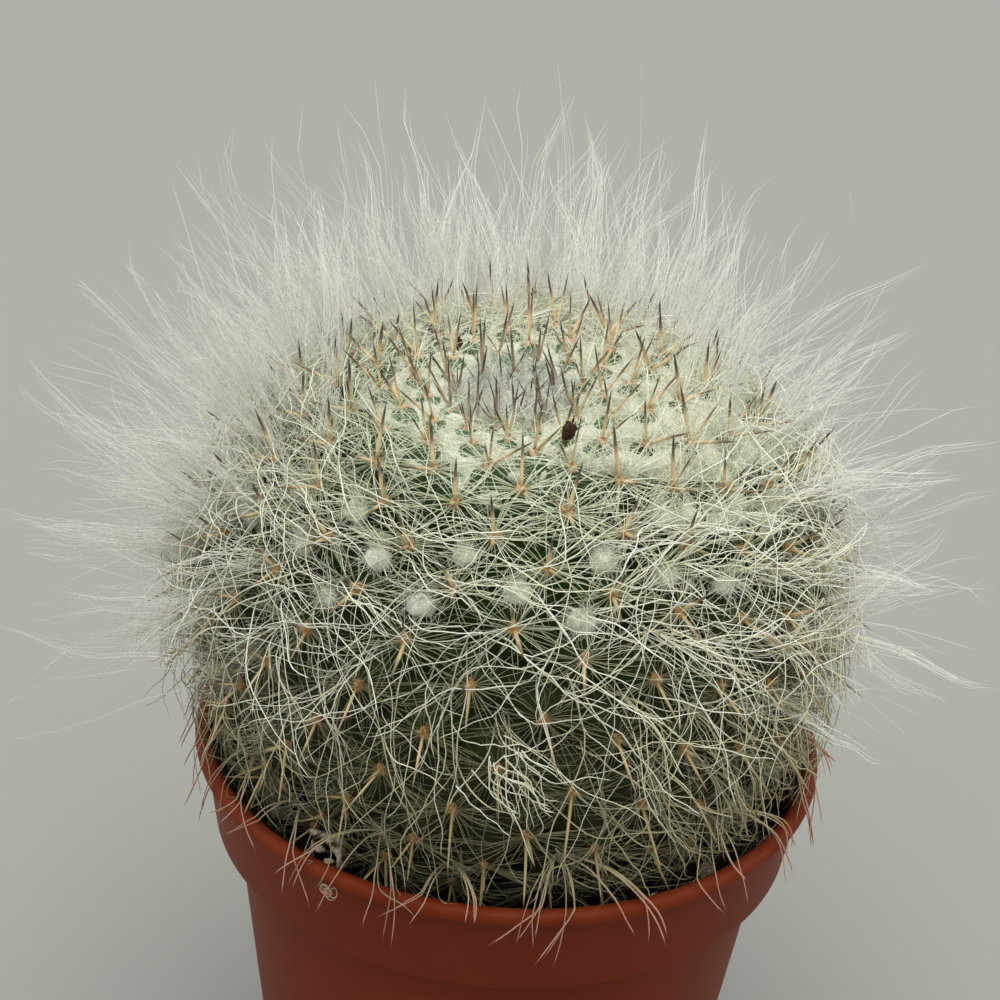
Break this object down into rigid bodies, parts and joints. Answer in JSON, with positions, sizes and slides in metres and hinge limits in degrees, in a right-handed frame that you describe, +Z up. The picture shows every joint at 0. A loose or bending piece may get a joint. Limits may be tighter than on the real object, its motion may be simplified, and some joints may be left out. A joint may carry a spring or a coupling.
{
  "type": "potted old lady cactus",
  "caption": "Young globe cactus with white radial spines, dark-tipped central spines, white wool and long white hairs, in a small round tapered plastic nursery pot.",
  "frame": {"origin": "middle of the pot's flat underside", "axes": "+Z up along the pot's axis through the plant; -Y is the front, the side that shows most of the hanging hairs, with +X to the right"},
  "size_m": [0.0796, 0.0793, 0.1049],
  "materials": {
    "pot_plastic": "satin",
    "potting_soil": "matte",
    "cactus_flesh": "satin",
    "axil_wool": "matte",
    "axil_hair": "satin",
    "dried_flower": "matte",
    "straw_husk": "matte",
    "pale_grit": "matte"
  },
  "bodies": {
    "root": {"pot": "pot_plastic", "soil": "potting_soil", "cactus_stem": "cactus_flesh", "crown_wool": "axil_wool", "dried_flower_1": "dried_flower", "dried_flower_2": "dried_flower", "dry_husk": "straw_husk", "grit_1": "pale_grit", "grit_2": "pale_grit", "grit_3": "pale_grit", "grit_4": "pale_grit", "wool_tuft_01": "axil_wool", "wool_tuft_02": "axil_wool", "wool_tuft_03": "axil_wool", "wool_tuft_04": "axil_wool", "wool_tuft_05": "axil_wool", "wool_tuft_06": "axil_wool", "wool_tuft_07": "axil_wool", "wool_tuft_08": "axil_wool", "wool_tuft_09": "axil_wool", "wool_tuft_10": "axil_wool", "wool_tuft_11": "axil_wool", "wool_tuft_12": "axil_wool", "wool_tuft_13": "axil_wool", "wool_tuft_14": "axil_wool", "wool_tuft_15": "axil_wool", "wool_tuft_16": "axil_wool", "wool_tuft_17": "axil_wool", "wool_tuft_18": "axil_wool", "hair_tuft_01": "axil_hair", "hair_tuft_02": "axil_hair", "hair_tuft_03": "axil_hair", "hair_tuft_04": "axil_hair", "hair_tuft_05": "axil_hair", "hair_tuft_06": "axil_hair", "hair_tuft_07": "axil_hair", "hair_tuft_08": "axil_hair", "hair_tuft_09": "axil_hair", "hair_tuft_10": "axil_hair", "hair_tuft_11": "axil_hair", "hair_tuft_12": "axil_hair", "hair_tuft_13": "axil_hair", "hair_tuft_14": "axil_hair", "hair_tuft_15": "axil_hair", "hair_tuft_16": "axil_hair", "hair_tuft_17": "axil_hair", "hair_tuft_18": "axil_hair", "hair_tuft_19": "axil_hair", "hair_tuft_20": "axil_hair", "hair_tuft_21": "axil_hair", "hair_tuft_22": "axil_hair"}
  },
  "joints": []
}
